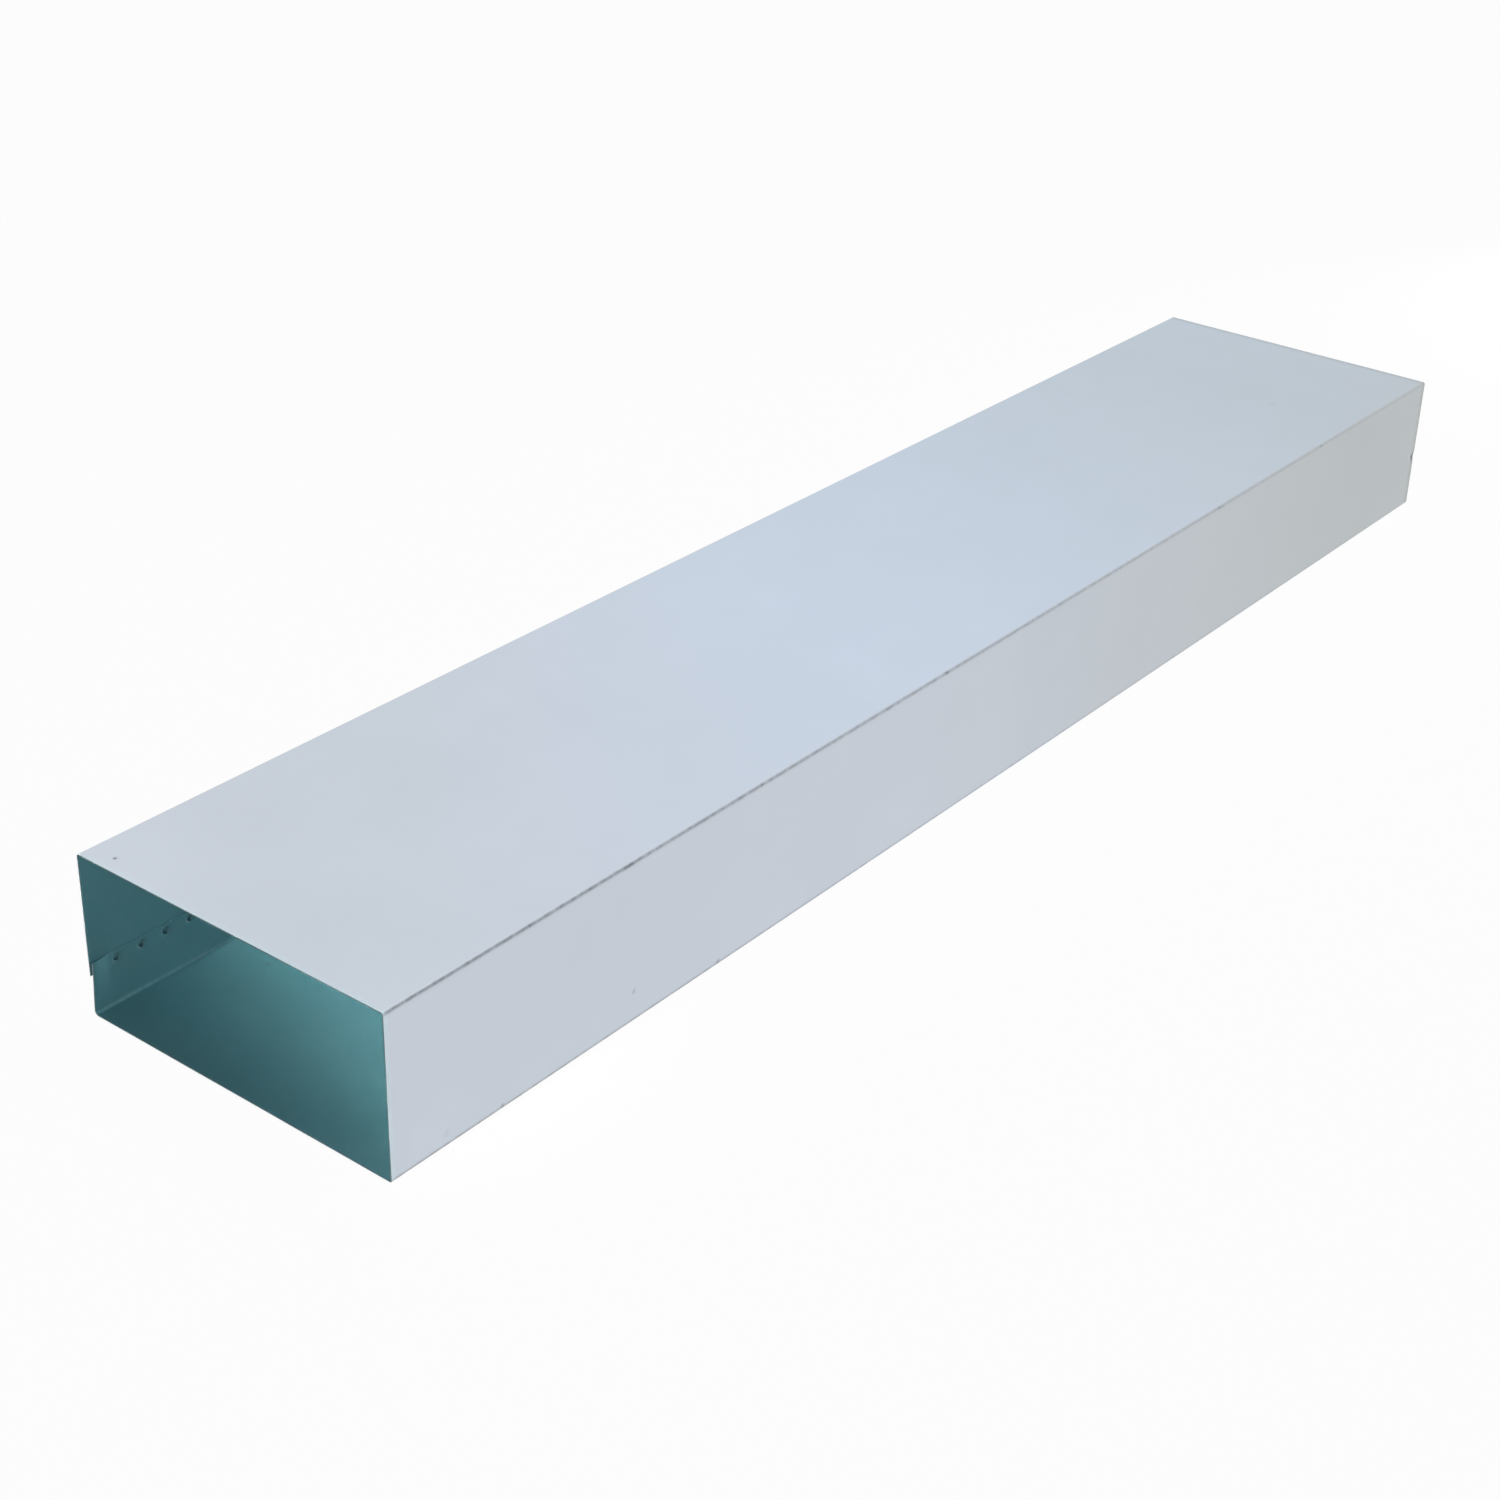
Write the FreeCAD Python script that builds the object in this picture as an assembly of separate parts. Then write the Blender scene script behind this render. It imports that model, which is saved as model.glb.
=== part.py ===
import FreeCAD, Part
import math
import os

# Flat channel duct: one galvanised sheet, folded four times into a low rectangular channel
# and closed on one narrow wall by a lap seam with a row of clinch points.
# Millimetres. X runs along the duct, Y across it with the seam on +Y, and Z is up.
# The origin is at the middle of the underside.

# Duct, over the outside of the sheet
duct_length = 1000.0
duct_width = 200.0
duct_height = 90.0

# Sheet and its folds. The fold below the seam is rounder than the other three.
sheet_thickness = 0.6
fold_inner_radius = 0.8
seam_fold_inner_radius = 2.0

# Lap seam: the flange that comes down from the top lies outside the one that comes up
# from the underside. The inner flange leans in to get behind the outer one,
# and a gentle set where the lap begins brings it upright again.
lap_lower_edge = 22.0
lap_overlap = 8.0
lap_clearance = 0.1
lap_set_radius = 40.0

# Clinch points: each is a pocket pressed from inside through both flanges, with its button outside.
# Their rounds have few sides, because the row is long: twelve stay within 0.1 mm of a true round.
clinch_sides = 12
clinch_end_margin = 15.0
clinch_spacing = 15.2
button_diameter = 5.4
button_height = 0.9
pocket_diameter = 3.6
pocket_floor_thickness = 0.5

# Places that follow from those sizes
near_end = -duct_length / 2
half_width = duct_width / 2
outer_flange_outside = half_width
inner_flange_outside = outer_flange_outside - sheet_thickness - lap_clearance
inner_flange_inside = inner_flange_outside - sheet_thickness
lap_upper_edge = lap_lower_edge + lap_overlap
clinch_height = lap_lower_edge + lap_overlap / 2
outward = FreeCAD.Vector(0, 1, 0)


def section_point(across, up):
    return FreeCAD.Vector(near_end, across, up)


def towards_inside(start, end):
    """Unit vector square to the run from start to end, on the side of the duct's inside."""
    run = end - start
    return FreeCAD.Vector(0, run.z, -run.y).normalize()


def inner_face_corners(outer_corners):
    """Corners of the sheet's inner face, one sheet thickness in from those of its outer face."""
    sides = [towards_inside(start, end) for start, end in zip(outer_corners, outer_corners[1:])]
    corners = [outer_corners[0] + sides[0] * sheet_thickness]
    for corner, before, after in zip(outer_corners[1:-1], sides, sides[1:]):
        mitre = (before + after) * (sheet_thickness / (1 + before.dot(after)))
        corners.append(corner + mitre)
    corners.append(outer_corners[-1] + sides[-1] * sheet_thickness)
    return corners


def folded_line(corners, fold_radii):
    """Straight runs from corner to corner, with each corner between them rounded to its radius."""
    edges = []
    run_start = corners[0]
    for before, corner, after, radius in zip(corners, corners[1:], corners[2:], fold_radii):
        arriving = (corner - before).normalize()
        leaving = (after - corner).normalize()
        half_turn = arriving.getAngle(leaving) / 2
        setback = radius * math.tan(half_turn)
        arc_start = corner - arriving * setback
        arc_end = corner + leaving * setback
        corner_to_arc = radius / math.cos(half_turn) - radius
        arc_middle = corner + (leaving - arriving).normalize() * corner_to_arc
        edges.append(Part.LineSegment(run_start, arc_start).toShape())
        edges.append(Part.Arc(arc_start, arc_middle, arc_end).toShape())
        run_start = arc_end
    edges.append(Part.LineSegment(run_start, corners[-1]).toShape())
    return edges


def folded_section():
    """Cut across the sheet: from the inner flange's edge round under the duct to the outer flange's edge."""
    outer_corners = [
        section_point(inner_flange_outside, lap_upper_edge),
        section_point(inner_flange_outside, lap_lower_edge),
        section_point(half_width, 0),
        section_point(-half_width, 0),
        section_point(-half_width, duct_height),
        section_point(half_width, duct_height),
        section_point(outer_flange_outside, lap_lower_edge),
    ]
    inner_corners = inner_face_corners(outer_corners)

    # The set in the inner flange bends the other way, so there the inner face is on the larger radius
    inner_radii = [lap_set_radius + sheet_thickness, seam_fold_inner_radius] + [fold_inner_radius] * 3
    outer_radii = [lap_set_radius] + [radius + sheet_thickness for radius in inner_radii[1:]]

    edges = folded_line(outer_corners, outer_radii)
    edges += folded_line(inner_corners, inner_radii)
    edges.append(Part.LineSegment(outer_corners[0], inner_corners[0]).toShape())
    edges.append(Part.LineSegment(outer_corners[-1], inner_corners[-1]).toShape())
    return Part.Face(Part.Wire(Part.sortEdges(edges)[0]))


def pressed_band():
    """Along the clinch line the two flanges are pressed tight onto each other, as wide as a button."""
    inner_flange_middle = inner_flange_outside - sheet_thickness / 2
    outer_flange_middle = outer_flange_outside - sheet_thickness / 2
    corner = section_point(inner_flange_middle, clinch_height - button_diameter / 2)
    depth = outer_flange_middle - inner_flange_middle
    return Part.makeBox(duct_length, depth, button_diameter, corner)


def clinch_stations():
    """Places of the clinch points along the duct, evenly spaced from margin to margin."""
    row_length = duct_length - 2 * clinch_end_margin
    spaces = round(row_length / clinch_spacing)
    return [row_length * (space / spaces - 0.5) for space in range(spaces + 1)]


def round_stub(station, foot, diameter, height):
    """A round stub that stands outward from its foot, at one station of the clinch line."""
    rim = []
    for side in range(clinch_sides):
        turn = 2 * math.pi * side / clinch_sides
        along = station + math.cos(turn) * diameter / 2
        up = clinch_height + math.sin(turn) * diameter / 2
        rim.append(FreeCAD.Vector(along, foot, up))
    return Part.Face(Part.makePolygon(rim + rim[:1])).extrude(outward * height)


def clinch_button(station):
    return round_stub(station, outer_flange_outside, button_diameter, button_height)


def clinch_pocket(station):
    depth = outer_flange_outside + button_height - pocket_floor_thickness - inner_flange_inside
    return round_stub(station, inner_flange_inside, pocket_diameter, depth)


def folded_sheet():
    sheet = folded_section().extrude(FreeCAD.Vector(duct_length, 0, 0))
    stations = clinch_stations()
    sheet = sheet.fuse([pressed_band()] + [clinch_button(station) for station in stations])
    sheet = sheet.cut([clinch_pocket(station) for station in stations])
    return sheet.removeSplitter().Solids[0]


os.makedirs("parts", exist_ok=True)
folded_sheet().exportStep("parts/folded_sheet.step")
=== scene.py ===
import math
from collections import namedtuple

import bmesh
import bpy
from bpy.props import FloatProperty, FloatVectorProperty, IntProperty, PointerProperty
from bpy.types import NodeSocket, Operator, Panel, PropertyGroup
from mathutils import Matrix, Vector, noise


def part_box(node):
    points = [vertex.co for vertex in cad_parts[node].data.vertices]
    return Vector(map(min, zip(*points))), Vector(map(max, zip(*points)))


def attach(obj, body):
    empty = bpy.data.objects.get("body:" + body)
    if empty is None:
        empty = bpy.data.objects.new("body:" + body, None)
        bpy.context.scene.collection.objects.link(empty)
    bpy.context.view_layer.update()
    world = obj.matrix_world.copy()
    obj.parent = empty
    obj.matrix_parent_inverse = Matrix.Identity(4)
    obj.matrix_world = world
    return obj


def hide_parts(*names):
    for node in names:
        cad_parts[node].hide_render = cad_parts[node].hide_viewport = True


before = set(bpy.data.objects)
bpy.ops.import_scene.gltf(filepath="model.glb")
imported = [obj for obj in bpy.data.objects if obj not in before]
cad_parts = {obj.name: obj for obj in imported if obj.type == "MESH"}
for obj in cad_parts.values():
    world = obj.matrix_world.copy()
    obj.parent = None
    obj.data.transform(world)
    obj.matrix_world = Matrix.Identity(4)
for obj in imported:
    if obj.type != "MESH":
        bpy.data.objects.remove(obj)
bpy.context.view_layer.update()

bl_info = {
    "name": "Flat Channel Duct",
    "version": (1, 0, 0),
    "blender": (4, 5, 0),
    "location": "View3D > Sidebar > Duct",
    "description": "Folded galvanised flat duct with a clinched lap seam, on a plain pale stage",
    "category": "Object",
}

# The frame's node for the whole duct. The seam wall carries the clinch buttons,
# so half the width is read from the plain wall on the other side.
SHEET_NODE = "folded_sheet"
LOW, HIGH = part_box(SHEET_NODE)
LENGTH = HIGH[0] - LOW[0]
HALF_LENGTH = LENGTH / 2
HALF_WIDTH = -LOW[1]
HEIGHT = HIGH[2]
MM = 0.001


def srgb(hex_colour):
    """Linear red, green and blue of an sRGB hex colour."""
    parts = [int(hex_colour[start:start + 2], 16) / 255 for start in (1, 3, 5)]
    return tuple(part / 12.92 if part <= 0.04045 else ((part + 0.055) / 1.055) ** 2.4 for part in parts)


def colour_property(label, words, hex_colour):
    return FloatVectorProperty(
        name=label, description=words, default=srgb(hex_colour), subtype="COLOR", size=3, min=0, max=1
    )


def length_property(label, words, millimetres):
    return FloatProperty(
        name=label, description=words, default=millimetres * MM, unit="LENGTH", precision=5
    )


def angle_property(label, words, degrees):
    return FloatProperty(name=label, description=words, default=math.radians(degrees), subtype="ANGLE")


def count_property(label, words, count):
    return IntProperty(name=label, description=words, default=count, min=2)


class DuctSheetSettings(PropertyGroup):
    """Sheet, folds and lap seam."""

    thickness: length_property("Sheet thickness", "Thickness of the folded sheet", 0.6)
    fold_radius: length_property("Fold radius", "Inner radius of the three plain folds", 0.8)
    seam_fold_radius: length_property("Seam fold radius", "Inner radius of the fold below the seam", 2.0)
    lap_lower_edge: length_property("Lap lower edge", "Height of the outer flange's edge", 22.0)
    lap_overlap: length_property("Lap overlap", "Height over which the two flanges overlap", 8.0)
    lap_clearance: length_property("Lap clearance", "Gap between the two flanges", 0.1)
    edge_chamfer: length_property("Edge chamfer", "Chamfer on the sheared edges", 0.1)
    row_spacing: length_property("Row spacing", "Widest spacing of mesh rows across a wall", 14.0)
    fold_steps: count_property("Fold steps", "Mesh steps round a fold", 8)


class DuctClinchSettings(PropertyGroup):
    """Clinch points along the lap seam."""

    end_margin: length_property("End margin", "From the duct's end to the first clinch point", 15.0)
    spacing: length_property("Spacing", "Nominal spacing of the clinch points", 15.2)
    button_diameter: length_property("Button diameter", "Diameter of the button outside", 5.4)
    button_height: length_property("Button height", "Height of the button outside", 0.9)
    pocket_diameter: length_property("Pocket diameter", "Diameter of the pocket inside", 3.6)
    pocket_depth: length_property("Pocket depth", "Depth of the pocket inside", 1.65)
    cell_size: length_property("Cell size", "Square of sheet that each clinch point is set in", 7.2)
    cell_steps: count_property("Cell steps", "Mesh steps along a cell's side", 6)


class DuctHandlingSettings(PropertyGroup):
    """What cutting, folding and handling did to the sheet, and how far the painted shade of the folds runs
    onto the plain wall.
    """

    gape_length: length_property("Gape length", "How far in from an end the lap stands open", 12.0)
    gape_inward: length_property("Gape inward", "How far the inner flange leans in at an end", 1.2)
    gape_outward: length_property("Gape outward", "How far the outer flange flares at an end", 0.4)
    # Painted shade: how far the dark band of the folds runs out onto the plain wall
    shade_band: length_property("Die mark", "Width of the dull band beside the plain wall's folds", 1.0)
    bow_height: length_property("Bow height", "Height of the slow waves in the flat walls", 0.2)
    bow_length: length_property("Bow length", "Length of the slow waves in the flat walls", 170.0)
    bow_margin: length_property("Bow margin", "Distance from a fold at which the waves are full", 35.0)


class DuctFinishSettings(PropertyGroup):
    """Colours of the sheet's faces."""

    zinc_light: colour_property("Zinc, light", "Paler tone of the outside", "#C8CFD8")
    zinc_dark: colour_property("Zinc, dark", "Darker tone of the outside", "#C5CCD5")
    # Painted shade: the zinc is drawn darker and greyer towards the far end, in place of a darker reflection
    # there
    zinc_far_shade: colour_property("Zinc, dull", "Tone that the outside dulls to at the far end", "#B9BEC0")
    # Painted shade along the folds, in place of a darker reflection; the same tone darkens the rings round
    # the buttons
    zinc_darkened: colour_property("Zinc on folds", "Strained zinc along the folds", "#747A81")
    # Painted highlight: the near end's rim is drawn bright as if it caught the light
    zinc_near_highlight: colour_property("Zinc, burnished", "Bright rim at the near end", "#C4DAE0")
    zinc_scuffed: colour_property("Zinc, scuffed", "Dull rim at the far end", "#A3A5A1")
    coat_light: colour_property("Back coat, light", "Paler tone of the coat inside", "#689FA8")
    coat_dark: colour_property("Back coat, dark", "Darker tone of the coat inside", "#6198A1")
    # Painted highlight along the inner folds, where the bend would catch the light
    coat_fold_highlight: colour_property("Back coat on folds", "Crazed coat along the folds inside", "#86BAC6")
    # Painted shade on the pockets' lit sides and painted light on their shaded floors
    coat_pocket_shade: colour_property("Back coat, bruised", "Bruised coat on the pockets' sides", "#456E75")
    coat_pocket_light: colour_property("Back coat, pressed", "Thinned coat on the pockets' floors", "#A9D6DC")
    edge: colour_property("Cut edge", "Sheared edge of the sheet", "#6E7C7F")
    # The same dark colour paints the shadow line at the mouth of the lap
    mark: colour_property("Marks", "Dents, nicks and the mouth of the lap", "#565A60")


class DuctStageSettings(PropertyGroup):
    """Camera, floor and light."""

    camera_place: FloatVectorProperty(
        name="Camera place",
        description="Camera position, from the middle of the duct's underside",
        default=(-1.1226, -0.7695, 0.7165),
        subtype="TRANSLATION",
        unit="LENGTH",
        size=3,
    )
    camera_heading: angle_property("Camera heading", "Direction of view, turned from +X towards +Y", 37.544)
    camera_dip: angle_property("Camera dip", "Angle of the view below the horizon", 28.767)
    camera_roll: angle_property("Camera roll", "Turn of the camera about its line of view", 1.614)
    camera_lens: FloatProperty(
        name="Camera lens",
        description="Focal length in millimetres on a sensor 36 mm wide",
        default=62.23,
        min=1,
    )
    floor_size: length_property("Floor size", "Side of the square floor", 12000.0)
    floor_colour: colour_property("Floor colour", "Pale floor", "#F2F2F2")
    ambient: FloatProperty(
        name="Ambient light", description="Strength of the light from all round", default=0.15, min=0
    )


# One row of the sheet's mesh: a point on the section's outer face, its outward direction,
# how much painted shade outside and painted highlight inside it gets from a fold, how far it may bow,
# which flange it is on and whether it has a vertex at every column.
SectionRow = namedtuple("SectionRow", "y z out_y out_z fold bow flange fine")
NO_FLANGE, INNER_FLANGE, OUTER_FLANGE = range(3)
OUTER_FACE, INNER_FACE = range(2)
ZINC, BACK_COAT, CUT_EDGE = range(3)
FACES = ((OUTER_FACE, ZINC), (INNER_FACE, BACK_COAT))

# Outward directions across the section
SEAM_OUT = Vector((1, 0))
PLAIN_OUT = Vector((-1, 0))
UP = Vector((0, 1))
DOWN = Vector((0, -1))

# A small dent: the wall it is on, its place along the duct and across the wall,
# its radius, its depth and how dark it is
Dent = namedtuple("Dent", "wall along across radius depth darkness")
DENTS = (
    Dent("top", -HALF_LENGTH + 8.9 * MM, HALF_WIDTH - 16.6 * MM, 1.5 * MM, 0.35 * MM, 1.0),
    Dent("top", HALF_LENGTH - 109.4 * MM, -HALF_WIDTH + 59.5 * MM, 4.0 * MM, 0.12 * MM, 0.1),
    Dent("plain", HALF_LENGTH - 2.0 * MM, 35.5 * MM, 4.5 * MM, 0.9 * MM, 0.8),
    Dent("plain", -HALF_LENGTH + 34.8 * MM, 7.4 * MM, 3.0 * MM, 0.05 * MM, 0.12),
    Dent("plain", -HALF_LENGTH + 70.7 * MM, 2.2 * MM, 1.8 * MM, 0.1 * MM, 0.5),
    Dent("plain", -HALF_LENGTH + 162.8 * MM, 17.2 * MM, 2.0 * MM, 0.08 * MM, 0.4),
    Dent("plain", -HALF_LENGTH + 227.2 * MM, 2.2 * MM, 1.8 * MM, 0.1 * MM, 0.5),
    Dent("underside", -HALF_LENGTH + 82.5 * MM, HALF_WIDTH - 30.6 * MM, 1.8 * MM, 0.1 * MM, 0.5),
)

# Mesh lines through a dent, as shares of its radius from its middle
DENT_LINES = (-1.0, -0.5, 0.0, 0.5, 1.0)

# Mesh rows beside a fold, of which the outer flange has the first three
FOLD_SHOULDERS = (0.3 * MM, 0.9 * MM, 2.5 * MM, 6.0 * MM)

# Mesh columns near each end, where the lap gapes
END_STEPS = (0.6 * MM, 1.6 * MM, 3.0 * MM, 5.0 * MM, 7.5 * MM, 10.0 * MM)

# Mesh lines no further apart than this become one, so a line is found again within a little more
CLOSEST_LINES = 0.05 * MM
LINE_SLACK = 0.06 * MM

# Mesh rows of the seam flanges: spacing on the inner one's lean, height of a row above the lean's foot,
# spacing on the outer one, and heights above the lap of its last fine row and its first coarse one
LEAN_SPACING = 4.0 * MM
LEAN_SHOULDER = 0.8 * MM
FLANGE_SPACING = 9.0 * MM
LAST_FINE_ROW = 1.5 * MM
FIRST_COARSE_ROW = 6.0 * MM

# Height of the painted shadow line below the outer flange's edge, where the lap opens
LAP_MOUTH = 1.0 * MM

# The painted shade of the plain wall's folds is drawn over beside both of them onto that wall.
# This share of its rise and fall is on the fold, and the rest runs out on the wall.
SHADE_BAND_WALL = "plain"
SHADE_BAND_REACH = 0.72

# The slow waves are closer together across a wall than along it, and the shift picks their pattern
BOW_ACROSS = 2
BOW_SHIFT = 7.3

# A row lies on a wall if this much of its outward direction is the wall's
WALL_FACING = 0.9

# Clinch cups: the lips that show are rounded in more steps. Those hidden between the flanges are wider
# than the pocket, reach deeper than the button stands out, and nest in each other with a clearance.
BUTTON_LIP = 0.25 * MM
POCKET_LIP = 0.3 * MM
HIDDEN_LIP = 0.2 * MM
SHOWN_STEPS = 3
HIDDEN_STEPS = 1
HIDDEN_WIDENING = 0.4 * MM
HIDDEN_DEEPENING = 0.34 * MM
NESTING_CLEARANCE = 0.1 * MM

# Share of a cup's depth at which its side begins to turn into its floor
CUP_SIDE = 0.75

# Edges sharper than this stay sharp in the shading
SHARP_ANGLE = math.radians(40)


def smooth(value):
    """0 below 0, 1 above 1, and a soft S between."""
    share = min(max(value, 0.0), 1.0)
    return share * share * (3 - 2 * share)


def even_stops(start, end, spacing):
    """Evenly spaced values from start to end, no further apart than spacing."""
    steps = max(1, math.ceil(abs(end - start) / spacing))
    return [start + (end - start) * step / steps for step in range(steps + 1)]


def joined_stops(*groups):
    """All values of several lists in rising order, without near repeats."""
    stops = []
    for value in sorted(value for group in groups for value in group):
        if not stops or value - stops[-1] > CLOSEST_LINES:
            stops.append(value)
    return stops


def clinch_stations(clinch):
    """Places of the clinch points along the duct, evenly spaced from margin to margin."""
    row_length = LENGTH - 2 * clinch.end_margin
    spaces = round(row_length / clinch.spacing)
    return [row_length * (space / spaces - 0.5) for space in range(spaces + 1)]


def cell_stops(middle, clinch):
    """Mesh lines of a clinch point's cell, from one side of it to the other."""
    half = clinch.cell_size / 2
    return [middle + half * (2 * step / clinch.cell_steps - 1) for step in range(clinch.cell_steps + 1)]


def fold_painted_share(share, band_side=None):
    """Share of painted shade outside and painted highlight inside, at a share of the way round a fold:
    nothing at its ends and 1 between them. A side given as the fold's start (0) or end (1) draws it over to
    that side."""
    if band_side is None:
        return math.sin(math.pi * share) ** 2
    from_free_end = share if band_side == 1 else 1 - share
    return math.sin(SHADE_BAND_REACH * math.pi * from_free_end) ** 2


class SheetSection:
    """The sheet's section, as the rows of its mesh."""

    def __init__(self, sheet, clinch, handling):
        self.sheet = sheet
        self.handling = handling
        self.lap_low = sheet.lap_lower_edge
        self.lap_high = self.lap_low + sheet.lap_overlap
        self.cell = cell_stops((self.lap_low + self.lap_high) / 2, clinch)
        self.radius = sheet.fold_radius + sheet.thickness
        self.high_seam = Vector((HALF_WIDTH - self.radius, HEIGHT - self.radius))

        # The inner flange leans in from its fold to the lap, and stands upright behind the outer flange
        self.hidden_y = HALF_WIDTH - sheet.thickness - sheet.lap_clearance
        self.lean = math.atan2(HALF_WIDTH - self.hidden_y, self.lap_low)
        self.lean_out = Vector((math.cos(self.lean), math.sin(self.lean)))
        self.seam_radius = sheet.seam_fold_radius + sheet.thickness
        setback = self.seam_radius * (1 + math.sin(self.lean)) / math.cos(self.lean)
        self.seam_middle = Vector((HALF_WIDTH - setback, self.seam_radius))
        self.lean_foot = self.seam_middle + self.lean_out * self.seam_radius

    def rows(self):
        """All rows, from the inner flange's edge under the duct and round to the outer flange's edge."""
        return self.inner_flange() + self.folds_and_walls() + self.outer_flange()

    def inner_flange(self):
        """Down the inner flange: upright behind the lap, and then out along its lean."""
        chamfer = self.lap_high - self.sheet.edge_chamfer
        behind_lap = joined_stops([self.lap_low, chamfer, self.lap_high], self.cell)
        leaning = joined_stops(
            even_stops(self.lean_foot.y, self.lap_low - LAP_MOUTH, LEAN_SPACING),
            [self.lean_foot.y + LEAN_SHOULDER, self.lap_low - LAP_MOUTH / 2],
        )
        rows = self.flange_rows(INNER_FLANGE, behind_lap, SEAM_OUT, True)
        return rows + self.flange_rows(INNER_FLANGE, leaning, self.lean_out, False)

    def folds_and_walls(self):
        """Fold below the seam, underside, fold, plain wall, fold, top, fold."""
        quarter = math.pi / 2
        radius = self.radius
        low_plain = Vector((-HALF_WIDTH + radius, radius))
        high_plain = Vector((-HALF_WIDTH + radius, HEIGHT - radius))
        under_seam = self.seam_middle + DOWN * self.seam_radius
        rows = self.fold_rows(self.seam_middle, self.seam_radius, self.lean, -quarter)
        rows += self.wall_rows("underside", under_seam, low_plain + DOWN * radius, DOWN)
        rows += self.fold_rows(low_plain, radius, -quarter, -2 * quarter, band_side=1)
        rows += self.wall_rows(
            "plain", low_plain + PLAIN_OUT * radius, high_plain + PLAIN_OUT * radius, PLAIN_OUT
        )
        rows += self.fold_rows(high_plain, radius, 2 * quarter, quarter, band_side=0)
        rows += self.wall_rows("top", high_plain + UP * radius, self.high_seam + UP * radius, UP)
        return rows + self.fold_rows(self.high_seam, radius, quarter, 0)

    def outer_flange(self):
        """Down the outer flange, from the top's fold to its edge below the lap."""
        wall_top = self.high_seam.y
        upper = joined_stops(
            even_stops(self.lap_high + FIRST_COARSE_ROW, wall_top, FLANGE_SPACING),
            [wall_top - shoulder for shoulder in FOLD_SHOULDERS[:3]],
        )
        chamfer = self.lap_low + self.sheet.edge_chamfer
        lower = joined_stops([self.lap_low, chamfer, self.lap_high + LAST_FINE_ROW], self.cell)
        rows = self.flange_rows(OUTER_FLANGE, upper, SEAM_OUT, False)
        return rows + self.flange_rows(OUTER_FLANGE, lower, SEAM_OUT, True)

    def flange_rows(self, flange, heights, out, fine):
        """Rows down a seam flange, at the given rising heights."""
        rows = []
        for z in reversed(heights):
            y = self.inner_flange_y(z) if flange == INNER_FLANGE else HALF_WIDTH
            rows.append(SectionRow(y, z, out.x, out.y, 0.0, 0.0, flange, fine))
        return rows

    def inner_flange_y(self, z):
        share = min((self.lap_low - z) / (self.lap_low - self.lean_foot.y), 1.0)
        return self.hidden_y + (self.lean_foot.x - self.hidden_y) * max(share, 0.0)

    def wall_rows(self, name, start, end, out):
        """Rows across one flat wall, from the end of one fold to the start of the next."""
        length = (end - start).length
        along = (end - start) / length
        stops = joined_stops(
            even_stops(0, length, self.sheet.row_spacing),
            FOLD_SHOULDERS,
            [length - shoulder for shoulder in FOLD_SHOULDERS],
        )
        axis = 0 if abs(along.x) > abs(along.y) else 1
        for dent in DENTS:
            if dent.wall == name:
                middle = (dent.across - start[axis]) / along[axis]
                lines = [middle + line * dent.radius for line in DENT_LINES]
                # A dent close to a fold has no mesh lines beyond its wall
                stops = joined_stops(stops, [line for line in lines if 0 < line < length])
        rows = []
        for stop in stops:
            point = start + along * stop
            from_fold = min(stop, length - stop)
            bow = smooth(from_fold / self.handling.bow_margin)
            painted_share = 0.0
            # Painted shade of the folds, running out onto this wall
            if name == SHADE_BAND_WALL:
                painted_share = fold_painted_share(1, band_side=1) * max(0.0, 1 - from_fold / self.handling.shade_band)
            rows.append(SectionRow(point.x, point.y, out.x, out.y, painted_share, bow, NO_FLANGE, False))
        return rows

    def fold_rows(self, middle, radius, first_angle, last_angle, band_side=None):
        """Rows round a fold's outer face, without its two ends."""
        steps = self.sheet.fold_steps
        rows = []
        for step in range(1, steps):
            angle = first_angle + (last_angle - first_angle) * step / steps
            out = Vector((math.cos(angle), math.sin(angle)))
            point = middle + out * radius
            painted_share = fold_painted_share(step / steps, band_side)
            rows.append(SectionRow(point.x, point.y, out.x, out.y, painted_share, 0.0, NO_FLANGE, False))
        return rows


def column_stops(clinch, sheet):
    """Places of the mesh columns along the duct, and the set of those that every row has."""
    stations = clinch_stations(clinch)
    fine = []
    for station in stations:
        fine += cell_stops(station, clinch)
    coarse = [(station + following) / 2 for station, following in zip(stations, stations[1:])]
    first_cell = clinch.end_margin - clinch.cell_size / 2
    for step in (0, sheet.edge_chamfer, *END_STEPS, first_cell):
        coarse += [HALF_LENGTH - step, step - HALF_LENGTH]
    for dent in DENTS:
        lines = [dent.along + line * dent.radius for line in DENT_LINES]
        coarse += [line for line in lines if abs(line) < HALF_LENGTH]
    coarse = joined_stops(coarse)
    columns = joined_stops(coarse, fine)
    shared = set()
    for column, x in enumerate(columns):
        if min(abs(x - stop) for stop in coarse) < LINE_SLACK:
            shared.add(column)
    return columns, shared


def wall_of(row):
    """Name of the wall that a row faces out of, or an empty one on the seam wall and round a fold."""
    if abs(row.out_z) > WALL_FACING:
        return "top" if row.out_z > 0 else "underside"
    return "plain" if row.out_y < -WALL_FACING else ""


def bow_out(row, x, handling):
    """Slow waves of a flat wall. The underside only bows inwards, because it lies on the floor."""
    if row.bow == 0:
        return 0.0
    scale = 1 / handling.bow_length
    place = (x * scale, row.y * scale * BOW_ACROSS, row.z * scale * BOW_ACROSS + BOW_SHIFT)
    wave = noise.noise(Vector(place))
    if wall_of(row) == "underside":
        wave = -abs(wave)
    return handling.bow_height * row.bow * wave


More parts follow.
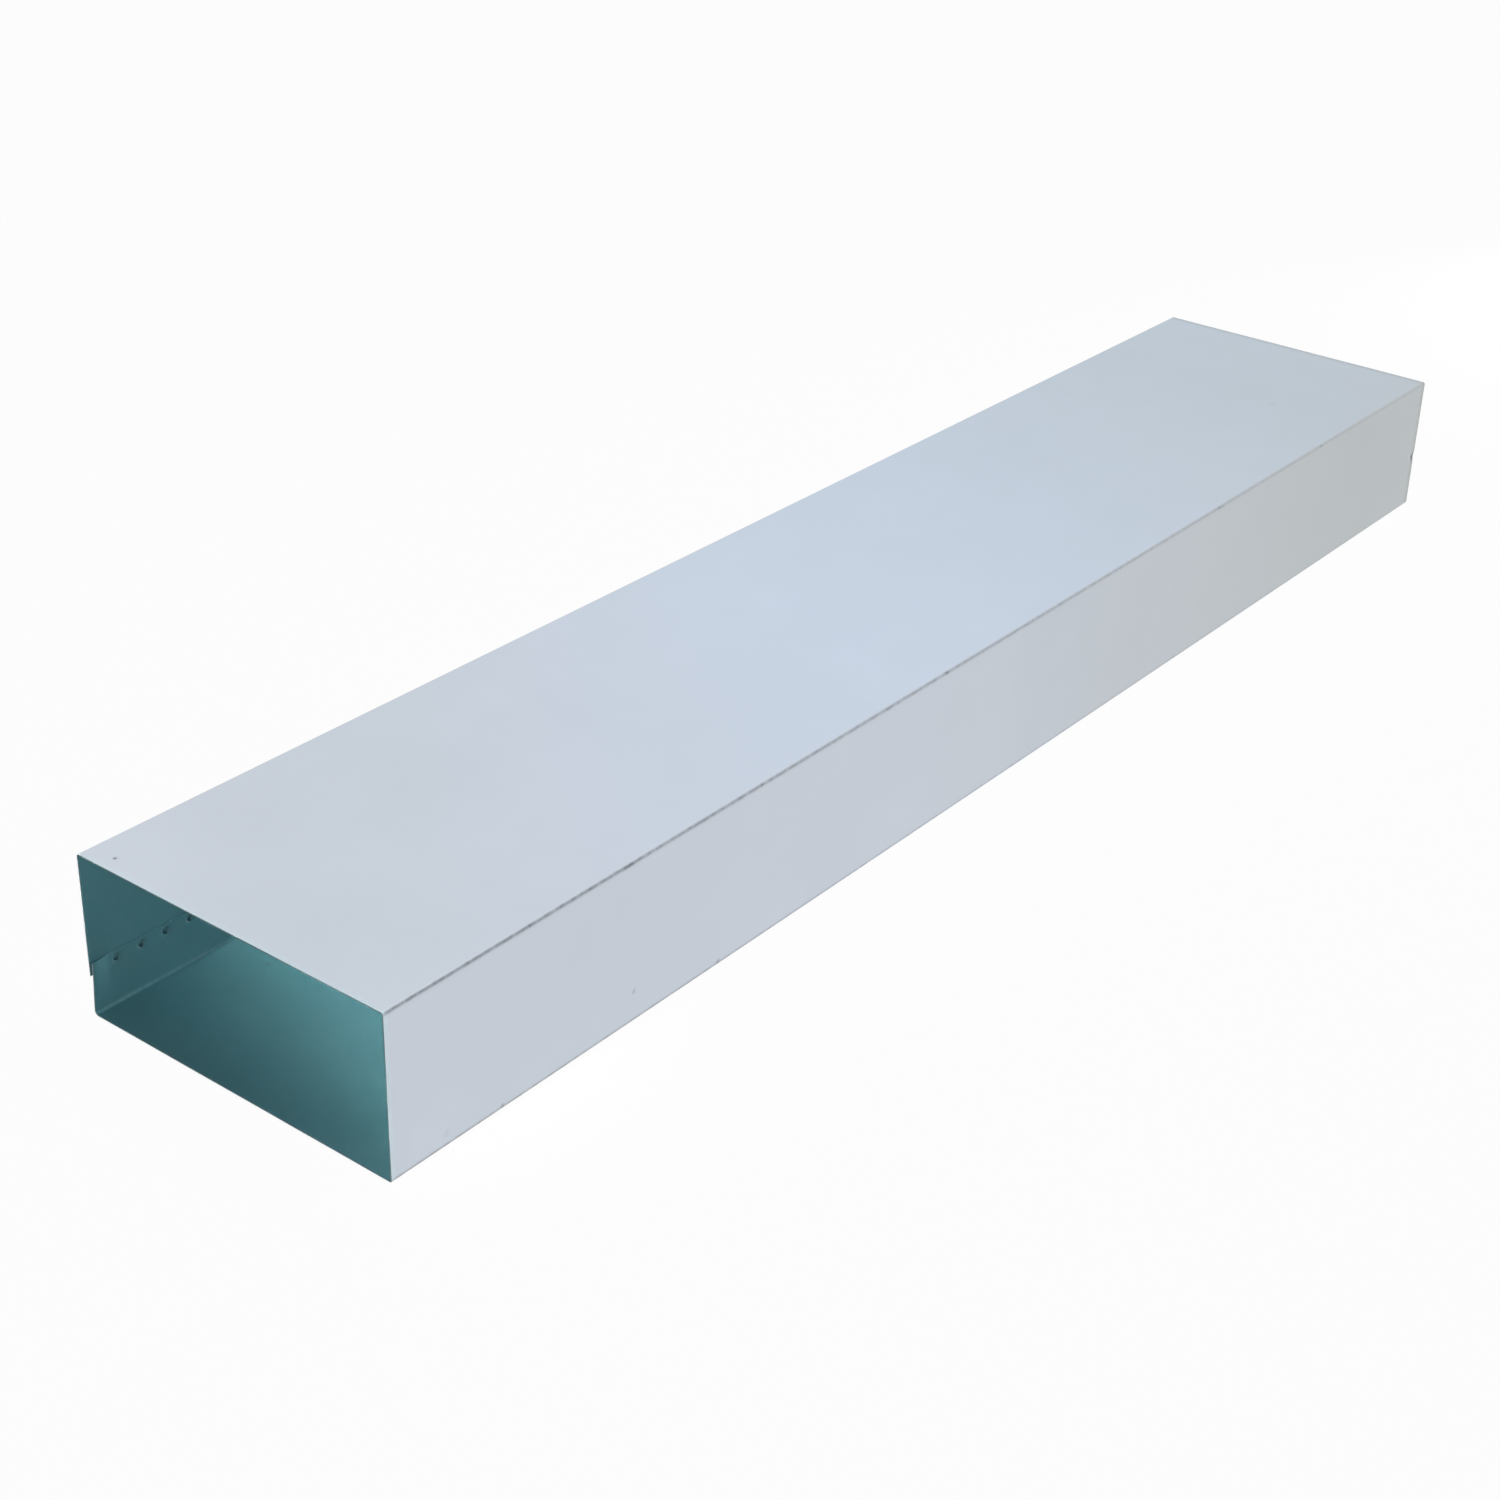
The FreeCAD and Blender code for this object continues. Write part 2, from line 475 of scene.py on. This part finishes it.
def dent_at(row, x):
    """Depth and darkness of the dents at one place of the section."""
    depth = 0.0
    darkness = 0.0
    for dent in DENTS:
        if dent.wall != wall_of(row):
            continue
        across = row.z if dent.wall == "plain" else row.y
        distance = math.hypot(x - dent.along, across - dent.across) / dent.radius
        share = smooth(1 - distance)
        depth += dent.depth * share
        darkness = max(darkness, dent.darkness * share)
    return depth, darkness


def flange_gape(row, x, handling, lap_high):
    """How far a seam flange stands off at the duct's ends, outward positive."""
    if row.flange == NO_FLANGE:
        return 0.0
    from_end = HALF_LENGTH - abs(x)
    share = smooth(1 - from_end / handling.gape_length)
    if row.flange == INNER_FLANGE:
        return -handling.gape_inward * share * smooth(row.z / lap_high)
    return handling.gape_outward * share * smooth((HEIGHT - row.z) / (HEIGHT - lap_high))


def cup_rings(radius, depth, lip, steps):
    """Radius and depth of the rings of a pressed cup with a rounded lip and floor corner."""
    turns = [math.pi / 2 * step / steps for step in range(steps + 1)]
    rings = [(radius + lip * (1 - math.sin(turn)), lip * (1 - math.cos(turn))) for turn in turns]
    rings += [(radius - lip * (1 - math.cos(turn)), depth - lip * (1 - math.sin(turn))) for turn in turns]
    return rings


class SheetMesh:
    """The folded sheet as one closed mesh, built row by row and column by column."""

    def __init__(self, sheet, clinch, handling):
        self.sheet = sheet
        self.clinch = clinch
        self.handling = handling
        self.rows = SheetSection(sheet, clinch, handling).rows()
        self.columns, self.shared = column_stops(clinch, sheet)
        self.mesh = bmesh.new()
        self.fold = self.mesh.verts.layers.float.new("fold")
        self.mark = self.mesh.verts.layers.float.new("mark")
        self.mouth = self.mesh.verts.layers.float.new("mouth")
        self.cup_darkening = self.mesh.verts.layers.float.new("cup_darkening")
        self.pressed = self.mesh.verts.layers.float.new("pressed")
        self.grid = {}

    def build(self):
        """The finished mesh, with its faces turned outward."""
        self.find_cells()
        self.place_vertices()
        self.sew_walls()
        self.sew_edges()
        self.press_clinch_points()
        unused = [vert for vert in self.mesh.verts if not vert.link_faces]
        bmesh.ops.delete(self.mesh, geom=unused, context="VERTS")
        bmesh.ops.recalc_face_normals(self.mesh, faces=self.mesh.faces)
        return self.mesh

    def columns_of(self, row):
        """Numbers of the columns that a row has vertices at."""
        return [column for column in range(len(self.columns)) if row.fine or column in self.shared]

    def add_face(self, corners, material):
        face = self.mesh.faces.new(corners)
        face.material_index = material
        face.smooth = True

    def find_cells(self):
        """Rows and columns of each clinch cell on each flange, and the grid squares that they take up."""
        lap_middle = self.sheet.lap_lower_edge + self.sheet.lap_overlap / 2
        reach = self.clinch.cell_size / 2 + LINE_SLACK
        self.cells = []
        self.taken = set()
        for flange in (INNER_FLANGE, OUTER_FLANGE):
            rows = [
                number for number, row in enumerate(self.rows)
                if row.flange == flange and row.fine and abs(row.z - lap_middle) < reach
            ]
            for station in clinch_stations(self.clinch):
                columns = [column for column, x in enumerate(self.columns) if abs(x - station) < reach]
                self.cells.append((flange, station, rows, columns))
                self.taken.update((row, column) for row in rows[:-1] for column in columns[:-1])

    def place_vertices(self):
        """A vertex on each face of the sheet, wherever a row has a column."""
        lap_low = self.sheet.lap_lower_edge
        lap_high = lap_low + self.sheet.lap_overlap
        last_row = len(self.rows) - 1
        last_column = len(self.columns) - 1
        for number, row in enumerate(self.rows):
            in_mouth = row.flange == INNER_FLANGE and row.z > lap_low - LAP_MOUTH
            for column in self.columns_of(row):
                x = self.columns[column]
                depth, darkness = dent_at(row, x)
                shift = bow_out(row, x, self.handling) - depth
                shift += flange_gape(row, x, self.handling, lap_high)
                on_edge = number in (0, last_row) or column in (0, last_column)
                inset = self.sheet.edge_chamfer if on_edge else 0.0
                offsets = {OUTER_FACE: shift - inset, INNER_FACE: shift - self.sheet.thickness + inset}
                for side, offset in offsets.items():
                    place = (x, row.y + row.out_y * offset, row.z + row.out_z * offset)
                    vert = self.mesh.verts.new(place)
                    vert[self.fold] = row.fold
                    vert[self.mark] = darkness
                    # The mouth layer carries the painted shadow line below the outer flange's edge
                    if side == OUTER_FACE and in_mouth:
                        vert[self.mouth] = 1.0
                    self.grid[side, number, column] = vert

    def sew_walls(self):
        """Faces between neighbouring rows, with more corners where a fine row meets a coarse one.
        The chamfers at the duct's ends belong to the sheared edge."""
        last_column = len(self.columns) - 1
        for row in range(len(self.rows) - 1):
            here = self.columns_of(self.rows[row])
            there = self.columns_of(self.rows[row + 1])
            both = sorted(set(here) & set(there))
            for first, last in zip(both, both[1:]):
                if (row, first) in self.taken:
                    continue
                lower = [column for column in here if first <= column <= last]
                upper = [column for column in there if first <= column <= last]
                at_end = first == 0 or last == last_column
                for side, material in FACES:
                    corners = [self.grid[side, row, column] for column in lower]
                    corners += [self.grid[side, row + 1, column] for column in reversed(upper)]
                    self.add_face(corners, CUT_EDGE if at_end else material)

    def sew_edges(self):
        """Sheared ends of the duct and the two edges of the lap, of which the coat covers the inner one."""
        last_row = len(self.rows) - 1
        for column in (0, len(self.columns) - 1):
            for row in range(last_row):
                self.sew_across((row, column), (row + 1, column), CUT_EDGE)
        for row, material in ((0, BACK_COAT), (last_row, CUT_EDGE)):
            columns = self.columns_of(self.rows[row])
            for column, following in zip(columns, columns[1:]):
                self.sew_across((row, column), (row, following), material)

    def sew_across(self, here, there, material):
        """One face through the sheet's thickness, between two neighbouring places of the grid."""
        places = ((OUTER_FACE, here), (OUTER_FACE, there), (INNER_FACE, there), (INNER_FACE, here))
        self.add_face([self.grid[(side, *place)] for side, place in places], material)

    def sew_loops(self, outer, inner, material):
        """Faces between two rings of vertices, one inside the other."""
        count = len(outer)
        for place in range(count):
            following = (place + 1) % count
            self.add_face((outer[place], outer[following], inner[following], inner[place]), material)

    def press_clinch_points(self):
        """Cups pressed through both flanges: each face of each flange gets its own."""
        clinch = self.clinch
        button = clinch.button_diameter / 2
        pocket = clinch.pocket_diameter / 2
        hidden = pocket + HIDDEN_WIDENING
        hidden_depth = clinch.button_height + HIDDEN_DEEPENING
        nested = hidden - NESTING_CLEARANCE
        cups = {
            (OUTER_FLANGE, OUTER_FACE): cup_rings(button, clinch.button_height, BUTTON_LIP, SHOWN_STEPS),
            (OUTER_FLANGE, INNER_FACE): cup_rings(hidden, hidden_depth, HIDDEN_LIP, HIDDEN_STEPS),
            (INNER_FLANGE, OUTER_FACE): cup_rings(nested, hidden_depth, HIDDEN_LIP, HIDDEN_STEPS),
            (INNER_FLANGE, INNER_FACE): cup_rings(pocket, clinch.pocket_depth, POCKET_LIP, SHOWN_STEPS),
        }
        for flange, station, rows, columns in self.cells:
            for side, material in FACES:
                self.press_cup(side, material, station, rows, columns, cups[flange, side])

    def press_cup(self, side, material, station, rows, columns, rings):
        """One cup in the place of one cell, from the cell's square rim to the cup's floor."""
        rim = [(rows[0], column) for column in columns[:-1]]
        rim += [(row, columns[-1]) for row in rows[:-1]]
        rim += [(rows[-1], column) for column in reversed(columns[1:])]
        rim += [(row, columns[0]) for row in reversed(rows[1:])]
        loop = [self.grid[side, row, column] for row, column in rim]
        corner = loop[0].co.copy()
        middle_z = (self.rows[rows[0]].z + self.rows[rows[-1]].z) / 2

        # The rim starts along the cell's upper side, so its angle falls
        first_angle = math.atan2(corner.z - middle_z, corner.x - station)
        turn = -2 * math.pi / len(loop)

        # Outside, the button and the sheet round it are darkened; inside, the pocket's sides get painted
        # shade and its floor painted light
        lip_darkening = 1.0 if side == OUTER_FACE else 0.0
        floor_depth = rings[-1][1]
        for radius, depth in rings:
            pressed = smooth((depth / floor_depth - CUP_SIDE) / (1 - CUP_SIDE))
            cup_darkening = 1.0 - pressed if depth > 0 else lip_darkening
            ring = []
            for place in range(len(loop)):
                angle = first_angle + turn * place
                x = station + radius * math.cos(angle)
                z = middle_z + radius * math.sin(angle)
                vert = self.mesh.verts.new((x, corner.y + depth, z))
                vert[self.pressed] = pressed
                vert[self.cup_darkening] = cup_darkening
                ring.append(vert)
            self.sew_loops(loop, ring, material)
            loop = ring
        centre = self.mesh.verts.new((station, corner.y + floor_depth, middle_z))
        centre[self.pressed] = 1.0
        for vert, following in zip(loop, loop[1:] + loop[:1]):
            self.add_face((vert, following, centre), material)


# Parts of the noise that patterns are drawn from: the narrower the part, the harder the pattern's borders.
# The last leaves scattered spots.
WHOLE = (0.0, 1.0)
SOFT = (0.3, 0.7)
FIRM = (0.35, 0.65)
HARD = (0.4, 0.6)
SPOTS = (0.62, 0.76)
NOISE_ROUGHNESS = 0.55

# Where the painted shade of the far end begins and ends, as shares of the duct's length from its middle: the
# zinc is painted darker and greyer there in place of a darker reflection
FAR_SHADE_START = -0.1
FAR_SHADE_END = 0.4

# Widths of the painted highlight along the near end and of the scuffed rim at the far end, and how far they,
# the darkened rings round the buttons and the painted shadow at the mouth of the lap cover the zinc
NEAR_HIGHLIGHT = 3.2 * MM
FAR_RIM = 6.0 * MM
RIM_COVER = 0.9
RING_COVER = 0.35
MOUTH_SHADOW_COVER = 0.7

# Grain of the zinc, and the darkest drag lines of the sheared edge beside its colour
GRAIN_STRENGTH = 0.05
GRAIN_HEIGHT = 0.02 * MM
DRAG_SHADE = 0.88
EDGE_ROUGHNESS = 0.6


def add_node(tree, kind, inputs=None, **settings):
    """Adds one node. Inputs are values, or sockets to link from, by name or place."""
    made = tree.nodes.new(kind)
    for name, value in settings.items():
        setattr(made, name, value)
    for name, value in (inputs or {}).items():
        if isinstance(value, NodeSocket):
            tree.links.new(value, made.inputs[name])
        else:
            made.inputs[name].default_value = value
    return made


def new_material(name):
    """An empty node material and its tree."""
    material = bpy.data.materials.new(name)
    material.use_nodes = True
    material.node_tree.nodes.clear()
    return material, material.node_tree


def opaque(colour):
    """Colour with full alpha. A socket stays as it is."""
    if isinstance(colour, NodeSocket):
        return colour
    return (*colour, 1.0)


def mottle(tree, size_mm, detail, part=WHOLE, span=WHOLE):
    """Soft pattern fixed to the sheet, with features about as large as the size given.
    The part of the noise given is spread over the span."""
    place = add_node(tree, "ShaderNodeTexCoord").outputs["Object"]
    look = {"Vector": place, "Scale": 1 / (size_mm * MM), "Detail": detail, "Roughness": NOISE_ROUGHNESS}
    cloud = add_node(tree, "ShaderNodeTexNoise", look).outputs["Fac"]
    spread = {"Value": cloud, "From Min": part[0], "From Max": part[1], "To Min": span[0], "To Max": span[1]}
    return add_node(tree, "ShaderNodeMapRange", spread).outputs["Result"]


def along_duct(tree, start, end, span=WHOLE):
    """Even rise or fall over the span, between two places along the duct."""
    place = add_node(tree, "ShaderNodeTexCoord").outputs["Object"]
    along = add_node(tree, "ShaderNodeSeparateXYZ", {"Vector": place}).outputs["X"]
    spread = {"Value": along, "From Min": start, "From Max": end, "To Min": span[0], "To Max": span[1]}
    return add_node(tree, "ShaderNodeMapRange", spread).outputs["Result"]


def painted(tree, under, over, *shares):
    """One colour over another, as far as all the shares together let it cover.
    A share is a number, a socket or the name of one of the mesh's layers."""
    cover = None
    for share in shares:
        if isinstance(share, str):
            share = add_node(tree, "ShaderNodeAttribute", attribute_name=share).outputs["Fac"]
        if cover is None:
            cover = share
        else:
            cover = add_node(tree, "ShaderNodeMath", {0: cover, 1: share}, operation="MULTIPLY").outputs[0]
    mix = add_node(tree, "ShaderNodeMix", {0: cover, 6: opaque(under), 7: opaque(over)}, data_type="RGBA")
    return mix.outputs[2]


def galvanised_zinc(finish):
    """Hot-dip galvanised and skin-passed sheet: a pale blue-grey satin metal with faint slow clouding,
    painted shade that makes it darker and greyer towards the far end, painted shade and small dark marks
    along the folds, dark dents, darkened rings round the clinch buttons, a painted shadow line where the lap
    opens, a painted highlight along the rim of the near end and a scuffed rim at the far end."""
    material, tree = new_material("galvanised_zinc")
    colour = painted(tree, finish.zinc_light, finish.zinc_dark, mottle(tree, 90, 3, SOFT))
    # Painted shade: darker and greyer towards the far end, in place of a darker reflection
    far_shade = along_duct(tree, FAR_SHADE_START * LENGTH, FAR_SHADE_END * LENGTH)
    colour = painted(tree, colour, finish.zinc_far_shade, far_shade)

    # Painted shade along the folds, in place of a darker reflection, fainter towards the far end, and small
    # dark marks along them
    speckle = mottle(tree, 5, 4, FIRM, span=(0.55, 1.0))
    fading = along_duct(tree, -HALF_LENGTH, HALF_LENGTH, span=(1.0, 0.1))
    colour = painted(tree, colour, finish.zinc_darkened, "fold", speckle, fading)
    bruises = mottle(tree, 7, 2, SPOTS, span=(0.0, 0.5))
    colour = painted(tree, colour, finish.mark, "fold", bruises)

    # Painted highlight along the near end's rim and a scuffed rim at the far end, both with ragged borders
    ragged = mottle(tree, 3, 2, FIRM, span=(0.4, 1.0))
    # Painted highlight along the near end
    near_highlight = along_duct(tree, NEAR_HIGHLIGHT - HALF_LENGTH, -HALF_LENGTH, span=(0.0, RIM_COVER))
    colour = painted(tree, colour, finish.zinc_near_highlight, near_highlight, ragged)
    far_rim = along_duct(tree, HALF_LENGTH - FAR_RIM, HALF_LENGTH, span=(0.0, RIM_COVER))
    colour = painted(tree, colour, finish.zinc_scuffed, far_rim, ragged)

    # Darkened rings round the buttons, the painted shadow at the mouth of the lap, and dents
    colour = painted(tree, colour, finish.zinc_darkened, "cup_darkening", RING_COVER)
    colour = painted(tree, colour, finish.mark, "mouth", MOUTH_SHADOW_COVER)
    colour = painted(tree, colour, finish.mark, "mark")

    # The real grain is finer than this, and is drawn as coarse as it needs to show
    rough = mottle(tree, 30, 4, SOFT, span=(0.395, 0.425))
    grain = {"Height": mottle(tree, 1.2, 2), "Strength": GRAIN_STRENGTH, "Distance": GRAIN_HEIGHT}
    normal = add_node(tree, "ShaderNodeBump", grain).outputs["Normal"]
    look = {"Base Color": colour, "Metallic": 1.0, "Roughness": rough, "Normal": normal}
    shader = add_node(tree, "ShaderNodeBsdfPrincipled", look)
    add_node(tree, "ShaderNodeOutputMaterial", {"Surface": shader.outputs["BSDF"]})
    return material


def back_coat(finish):
    """Thin blue-green back coat on the zinc: an even satin lacquer, with a painted pale highlight along the
    folds, painted shade on the lit sides of the pressed pockets and painted light on their shaded floors."""
    material, tree = new_material("blue_green_back_coat")
    colour = painted(tree, finish.coat_light, finish.coat_dark, mottle(tree, 70, 3, SOFT))

    # Painted highlight along the inner folds: the fold share counts three times, which keeps it to the ridge
    # of a fold, and it is broken into dashes
    fold_highlight_breaks = mottle(tree, 3, 3, HARD, span=(0.2, 0.8))
    colour = painted(tree, colour, finish.coat_fold_highlight, "fold", "fold", "fold", fold_highlight_breaks)
    # Painted shade on the pockets' lit sides, broken into patches, and painted light on their shaded floors
    patchy_pocket_shade = mottle(tree, 1.4, 1, HARD, span=(0.5, 1.0))
    colour = painted(tree, colour, finish.coat_pocket_shade, "cup_darkening", patchy_pocket_shade)
    colour = painted(tree, colour, finish.coat_pocket_light, "pressed")
    colour = painted(tree, colour, finish.mark, "mark")

    rough = mottle(tree, 25, 4, SOFT, span=(0.36, 0.44))
    shader = add_node(tree, "ShaderNodeBsdfPrincipled", {"Base Color": colour, "Roughness": rough})
    add_node(tree, "ShaderNodeOutputMaterial", {"Surface": shader.outputs["BSDF"]})
    return material


def sheared_edge(finish):
    """Guillotined steel edge: bare, dull and darker than the zinc, with fine drag lines across the sheet.
    The lines are drawn coarser than real ones, as short patches, so that they show."""
    material, tree = new_material("sheared_steel_edge")
    dark = [channel * DRAG_SHADE for channel in finish.edge]
    colour = painted(tree, dark, finish.edge, mottle(tree, 0.8, 2, SOFT))
    look = {"Base Color": colour, "Metallic": 1.0, "Roughness": EDGE_ROUGHNESS}
    shader = add_node(tree, "ShaderNodeBsdfPrincipled", look)
    add_node(tree, "ShaderNodeOutputMaterial", {"Surface": shader.outputs["BSDF"]})
    return material


class DUCT_OT_folded_sheet(Operator):
    """Builds the folded sheet with its lap seam and clinch points"""

    bl_idname = "duct.folded_sheet"
    bl_label = "Folded Sheet"

    def execute(self, context):
        scene = context.scene
        built = SheetMesh(scene.duct_sheet, scene.duct_clinch, scene.duct_handling).build()
        mesh = bpy.data.meshes.new("galvanised_duct")
        built.to_mesh(mesh)
        built.free()
        mesh.set_sharp_from_angle(angle=SHARP_ANGLE)
        piece = bpy.data.objects.new("galvanised_duct", mesh)
        context.collection.objects.link(piece)
        for make in (galvanised_zinc, back_coat, sheared_edge):
            mesh.materials.append(make(scene.duct_finish))
        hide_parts(SHEET_NODE)
        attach(piece, "root")
        return {"FINISHED"}


# Soft lamps: places and sizes in metres, beam spread and roll in degrees.
# The overhead softbox lights the floor, the sky panel gives the top its cool sheen, and the front softbox
# lights the near end. The small back softbox stands low behind the far end and only shines into it.
# The narrow one, behind a grid, reaches the floor of the duct some way in from the near end.
Softbox = namedtuple("Softbox", "name place target width height watts colour spread roll")
SOFTBOXES = (
    Softbox("overhead_softbox", (0.1, -0.3, 2.0), (0.0, 0.0, 0.0), 1.0, 0.8, 4.0, "#FFFFFF", 180, 0),
    Softbox("sky_panel", (2.8, 1.65, 1.2), (0.2, 0.0, 0.09), 1.6, 1.6, 2.5, "#4CB4FF", 180, 0),
    Softbox("front_softbox", (-2.8, -0.45, 0.5), (-0.45, 0.0, 0.04), 0.6, 0.6, 22.0, "#FFFFFF", 180, 0),
    Softbox("back_softbox", (1.4, -0.065, 0.045), (-0.3, 0.02, 0.045), 0.06, 0.07, 4.2, "#FFFFFF", 60, 0),
    Softbox("grid_softbox", (-2.02, 0.03, 0.73), (-0.37, 0.0, 0.0), 0.26, 0.04, 0.106, "#FFFFFF", 3, -8),
)

# Stage: the floor lies a little below the duct, and for the eye this share of it is plain white
WHITE = (1.0, 1.0, 1.0, 1.0)
FLOOR_DROP = 0.3 * MM
FLOOR_LIFT = 0.97

# Camera: sensor width in millimetres, and the nearest distance that it sees in metres
SENSOR_WIDTH = 36.0
NEAREST_SEEN = 0.01


def camera_matrix(stage):
    """The camera's place and axes from its heading, dip and roll."""
    heading, dip, roll = stage.camera_heading, stage.camera_dip, stage.camera_roll
    forward = Vector((
        math.cos(dip) * math.cos(heading),
        math.cos(dip) * math.sin(heading),
        -math.sin(dip),
    ))
    right = Vector((math.sin(heading), -math.cos(heading), 0))
    up = right.cross(forward)
    rolled_right = right * math.cos(roll) + up * math.sin(roll)
    rolled_up = up * math.cos(roll) - right * math.sin(roll)
    axes = Matrix((rolled_right, rolled_up, -forward)).transposed()
    return Matrix.Translation(Vector(stage.camera_place)) @ axes.to_4x4()


def seen_by_eye(tree):
    """1 for what the camera sees straight, in a reflection or through glass, and 0 for light on surfaces."""
    path = add_node(tree, "ShaderNodeLightPath").outputs
    rays = {0: path["Is Glossy Ray"], 1: path["Is Transmission Ray"]}
    mirrored = add_node(tree, "ShaderNodeMath", rays, operation="MAXIMUM").outputs[0]
    rays = {0: path["Is Camera Ray"], 1: mirrored}
    return add_node(tree, "ShaderNodeMath", rays, operation="MAXIMUM").outputs[0]


def white_world(ambient):
    """White behind everything, with softer light from all round."""
    world = bpy.data.worlds.new("studio_white")
    world.use_nodes = True
    tree = world.node_tree
    tree.nodes.clear()
    strength = add_node(tree, "ShaderNodeMix", {0: seen_by_eye(tree), 2: ambient, 3: 1.0}).outputs[0]
    background = add_node(tree, "ShaderNodeBackground", {"Color": WHITE, "Strength": strength})
    add_node(tree, "ShaderNodeOutputWorld", {"Surface": background.outputs[0]})
    return world


def pale_floor_material(stage):
    """Matt pale board, lifted to white for the eye and still taking the object's shadow.
    The lift is no lamp, so it isn't sampled as one."""
    material, tree = new_material("pale_matt_board")
    material.cycles.emission_sampling = "NONE"
    matt = add_node(tree, "ShaderNodeBsdfDiffuse", {"Color": opaque(stage.floor_colour)})
    white = add_node(tree, "ShaderNodeEmission", {"Color": WHITE, "Strength": 1.0})
    lift = add_node(tree, "ShaderNodeMath", {0: seen_by_eye(tree), 1: FLOOR_LIFT}, operation="MULTIPLY")
    shaders = {0: lift.outputs[0], 1: matt.outputs[0], 2: white.outputs[0]}
    both = add_node(tree, "ShaderNodeMixShader", shaders)
    add_node(tree, "ShaderNodeOutputMaterial", {"Surface": both.outputs[0]})
    return material


def add_floor(context, stage):
    mesh = bpy.data.meshes.new("pale_floor")
    half = stage.floor_size / 2
    corners = [(x, y, -FLOOR_DROP) for x, y in ((-half, -half), (half, -half), (half, half), (-half, half))]
    mesh.from_pydata(corners, [], [(0, 1, 2, 3)])
    mesh.materials.append(pale_floor_material(stage))
    floor = bpy.data.objects.new("pale_floor", mesh)
    context.collection.objects.link(floor)


def add_softbox(context, box):
    lamp = bpy.data.lights.new(box.name, "AREA")
    lamp.shape = "RECTANGLE"
    lamp.size = box.width
    lamp.size_y = box.height
    lamp.energy = box.watts
    lamp.color = srgb(box.colour)
    lamp.spread = math.radians(box.spread)
    softbox = bpy.data.objects.new(box.name, lamp)
    softbox.location = box.place
    aim = (Vector(box.target) - Vector(box.place)).to_track_quat("-Z", "Y")
    turn = Matrix.Rotation(math.radians(box.roll), 3, "Z")
    softbox.rotation_euler = (aim.to_matrix() @ turn).to_euler()
    context.collection.objects.link(softbox)


def add_camera(context, stage):
    lens = bpy.data.cameras.new("photo_camera")
    lens.sensor_width = SENSOR_WIDTH
    lens.lens = stage.camera_lens
    lens.clip_start = NEAREST_SEEN
    camera = bpy.data.objects.new("photo_camera", lens)
    camera.matrix_world = camera_matrix(stage)
    context.collection.objects.link(camera)
    context.scene.camera = camera


class DUCT_OT_stage(Operator):
    """Sets the pale floor, the soft light and the camera"""

    bl_idname = "duct.stage"
    bl_label = "Stage"

    def execute(self, context):
        scene = context.scene
        stage = scene.duct_stage
        add_floor(context, stage)
        scene.world = white_world(stage.ambient)
        for box in SOFTBOXES:
            add_softbox(context, box)
        add_camera(context, stage)
        scene.view_settings.view_transform = "Standard"
        return {"FINISHED"}


class DUCT_PT_panel(Panel):
    """Sizes, colours and steps of the duct"""

    bl_idname = "DUCT_PT_panel"
    bl_label = "Flat Channel Duct"
    bl_space_type = "VIEW_3D"
    bl_region_type = "UI"
    bl_category = "Duct"

    def draw(self, context):
        for name, group in SETTINGS.items():
            box = self.layout.box()
            box.label(text=group.__doc__)
            for key in group.__annotations__:
                box.prop(getattr(context.scene, name), key)
        self.layout.operator(DUCT_OT_folded_sheet.bl_idname)
        self.layout.operator(DUCT_OT_stage.bl_idname)


SETTINGS = {
    "duct_sheet": DuctSheetSettings,
    "duct_clinch": DuctClinchSettings,
    "duct_handling": DuctHandlingSettings,
    "duct_finish": DuctFinishSettings,
    "duct_stage": DuctStageSettings,
}
CLASSES = (*SETTINGS.values(), DUCT_OT_folded_sheet, DUCT_OT_stage, DUCT_PT_panel)


def register():
    for cls in CLASSES:
        bpy.utils.register_class(cls)
    for name, group in SETTINGS.items():
        setattr(bpy.types.Scene, name, PointerProperty(type=group))


def unregister():
    for name in SETTINGS:
        delattr(bpy.types.Scene, name)
    for cls in reversed(CLASSES):
        bpy.utils.unregister_class(cls)


def main():
    register()
    bpy.ops.duct.folded_sheet()
    bpy.ops.duct.stage()


if __name__ == "__main__":
    main()
